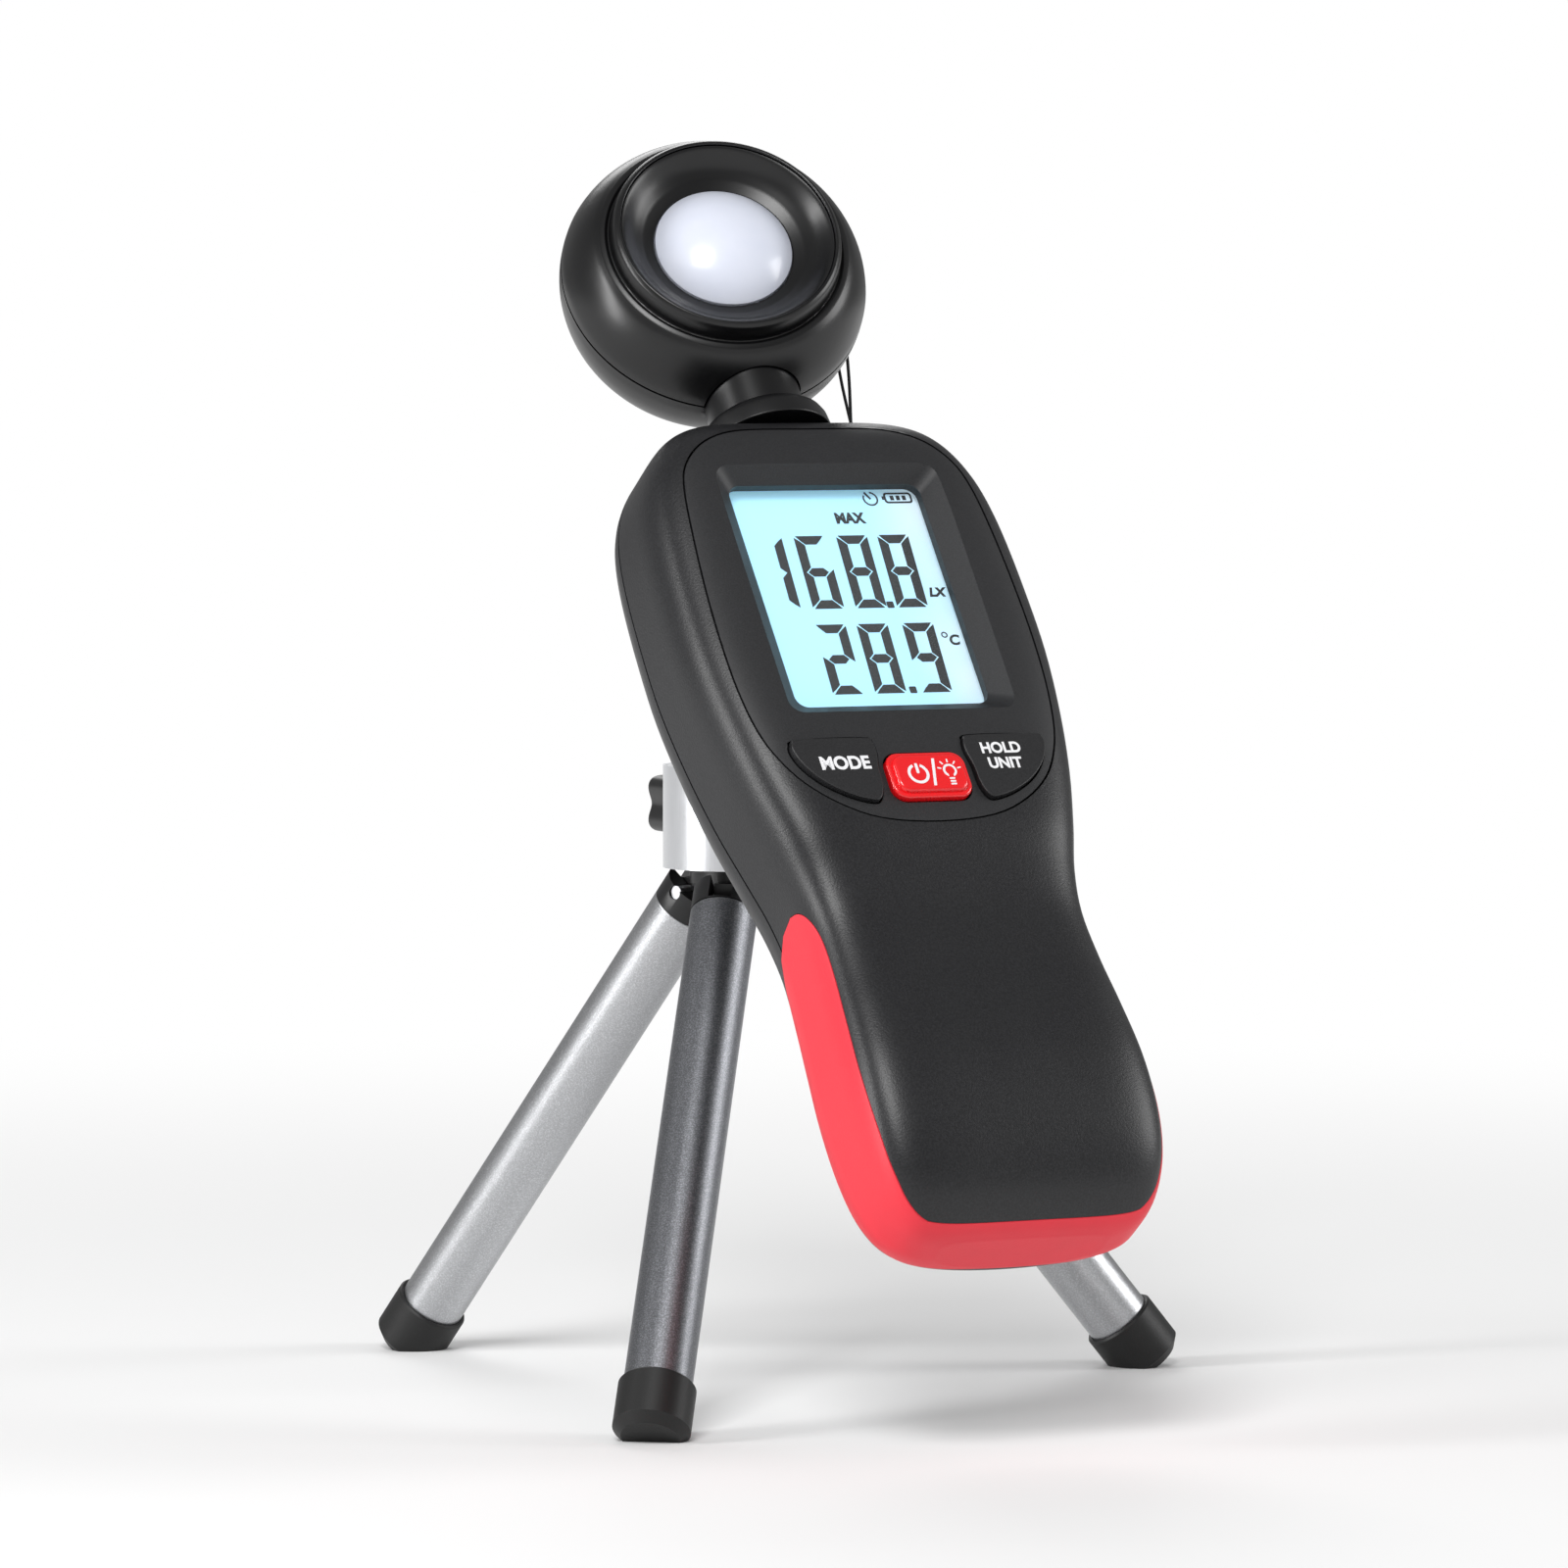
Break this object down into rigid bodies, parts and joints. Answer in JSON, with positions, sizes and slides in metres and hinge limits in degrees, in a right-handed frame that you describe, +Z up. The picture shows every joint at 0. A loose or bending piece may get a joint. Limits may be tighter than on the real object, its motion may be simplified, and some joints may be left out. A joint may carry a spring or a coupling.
{
  "type": "light meter",
  "caption": "Handheld light meter with a turning dome sensor head, backlit display and push keys, screwed to a small ball-head stand with folding legs.",
  "frame": {"origin": "on the table under the column's axis, midway between the feet's pivots", "axes": "+Z up, -Y the way the display faces, +X to the right of someone facing the display"},
  "size_m": [0.1158, 0.1609, 0.1869],
  "materials": {
    "case_plastic": "fine textured satin black",
    "panel_plastic": "smooth satin black",
    "key_plastic": "satin black with white legends",
    "power_key_plastic": "glossy red with a white symbol",
    "grip_rubber": "soft matte red",
    "display_window": "clear window",
    "display_glass": "pale blue lit display with near-black figures",
    "light_plastic": "milky light guide",
    "frame_plastic": "off-white",
    "board_laminate": "green circuit board",
    "chip_plastic": "black",
    "mat_rubber": "grey silicone",
    "tub_plastic": "black",
    "cell_metal": "printed sleeve",
    "spring_steel": "plated spring steel",
    "insert_brass": "machined",
    "head_plastic": "satin gloss black",
    "diffuser_plastic": "translucent white",
    "filter_glass": "green tinted filter",
    "photodiode_plastic": "dark epoxy",
    "loop_cord": "black woven cord",
    "plated_steel": "turned and satin plated",
    "pad_rubber": "black rubber",
    "stand_plastic": "black moulded",
    "leg_aluminium": "satin blasted"
  },
  "bodies": {
    "base": {"hub": "stand_plastic", "hub_screw": "spring_steel", "leg_pins": "spring_steel"},
    "column": {"column": "plated_steel", "ball_collar": "plated_steel", "ball_shoe": "insert_brass"},
    "lock": {"lock_screw": "spring_steel", "lock_knob": "stand_plastic"},
    "ball": {"ball_stud": "plated_steel", "platform": "plated_steel", "platform_pad": "pad_rubber", "mounting_stud": "spring_steel"},
    "meter": {"front_shell": "case_plastic", "rear_shell": "case_plastic", "grip_band": "grip_rubber", "front_panel": "panel_plastic", "display_window": "display_window", "lcd_glass": "display_glass", "backlight": "light_plastic", "lcd_frame": "frame_plastic", "main_board": "board_laminate", "board_chips": "chip_plastic", "keypad_mat": "mat_rubber", "battery_tub": "tub_plastic", "batteries": "cell_metal", "battery_contacts": "spring_steel", "case_screws": "spring_steel", "tripod_nut": "insert_brass", "buzzer": "chip_plastic", "neck_collar": "case_plastic", "hang_loop": "loop_cord"},
    "head": {"head_front_shell": "head_plastic", "head_rear_shell": "head_plastic", "bezel_ring": "head_plastic", "dome_diffuser": "diffuser_plastic", "light_filter": "filter_glass", "photodiode": "photodiode_plastic", "sensor_board": "board_laminate", "head_screws": "spring_steel", "neck_clip": "spring_steel"},
    "mode_key": {"mode_key": "key_plastic"},
    "hold_key": {"hold_key": "key_plastic"},
    "power_key": {"power_key": "power_key_plastic"},
    "battery_door": {"battery_door": "case_plastic", "door_screw": "spring_steel"},
    "leg_front": {"leg_plug_front": "stand_plastic", "leg_tube_front": "leg_aluminium", "foot_cap_front": "pad_rubber"},
    "leg_right": {"leg_plug_right": "stand_plastic", "leg_tube_right": "leg_aluminium", "foot_cap_right": "pad_rubber"},
    "leg_back": {"leg_plug_back": "stand_plastic", "leg_tube_back": "leg_aluminium", "foot_cap_back": "pad_rubber"}
  },
  "joints": [
    {"name": "column_pan", "type": "hinge", "parent": "base", "child": "column", "pos_m": [0, 0, 0.07798], "axis": [0, 0, 1], "continuous": true},
    {"name": "lock_turn", "type": "hinge", "parent": "column", "child": "lock", "pos_m": [0, 0, 0.08658], "axis": [0, 1, 0], "continuous": true},
    {"name": "ball_tilt", "type": "hinge", "parent": "column", "child": "ball", "pos_m": [0, 0, 0.09448], "axis": [1, 0, 0], "range_deg": [-53.5, 5]},
    {"name": "stud_spin", "type": "hinge", "parent": "ball", "child": "meter", "pos_m": [0, 0, 0.09448], "axis": [0, -0.8039, 0.5948], "continuous": true},
    {"name": "head_swivel", "type": "hinge", "parent": "meter", "child": "head", "pos_m": [0, -0.0105, 0.14082], "axis": [0, 0.5948, 0.8039], "range_deg": [-79, 101], "deforming": ["hang_loop"]},
    {"name": "mode_key_press", "type": "slide", "parent": "meter", "child": "mode_key", "axis": [0, 0.8039, -0.5948], "range_m": [0, 0.0008], "stiffness_N_per_m": 300, "springref_m": -0.001},
    {"name": "hold_key_press", "type": "slide", "parent": "meter", "child": "hold_key", "axis": [0, 0.8039, -0.5948], "range_m": [0, 0.0008], "stiffness_N_per_m": 300, "springref_m": -0.001},
    {"name": "power_key_press", "type": "slide", "parent": "meter", "child": "power_key", "axis": [0, 0.8039, -0.5948], "range_m": [0, 0.0008], "stiffness_N_per_m": 300, "springref_m": -0.001},
    {"name": "battery_door_lift", "type": "slide", "parent": "meter", "child": "battery_door", "axis": [0, 0.8039, -0.5948], "range_m": [0, 0.012]},
    {"name": "leg_front_fold", "type": "hinge", "parent": "base", "child": "leg_front", "pos_m": [-0.00481, -0.00639, 0.07398], "axis": [-0.7986, 0.6018, 0], "range_deg": [-39, 0]},
    {"name": "leg_right_fold", "type": "hinge", "parent": "base", "child": "leg_right", "pos_m": [0.00794, -0.00097, 0.07398], "axis": [-0.1219, -0.9925, 0], "range_deg": [-39, 0]},
    {"name": "leg_back_fold", "type": "hinge", "parent": "base", "child": "leg_back", "pos_m": [-0.00313, 0.00736, 0.07398], "axis": [0.9205, 0.3907, 0], "range_deg": [-39, 0]}
  ]
}
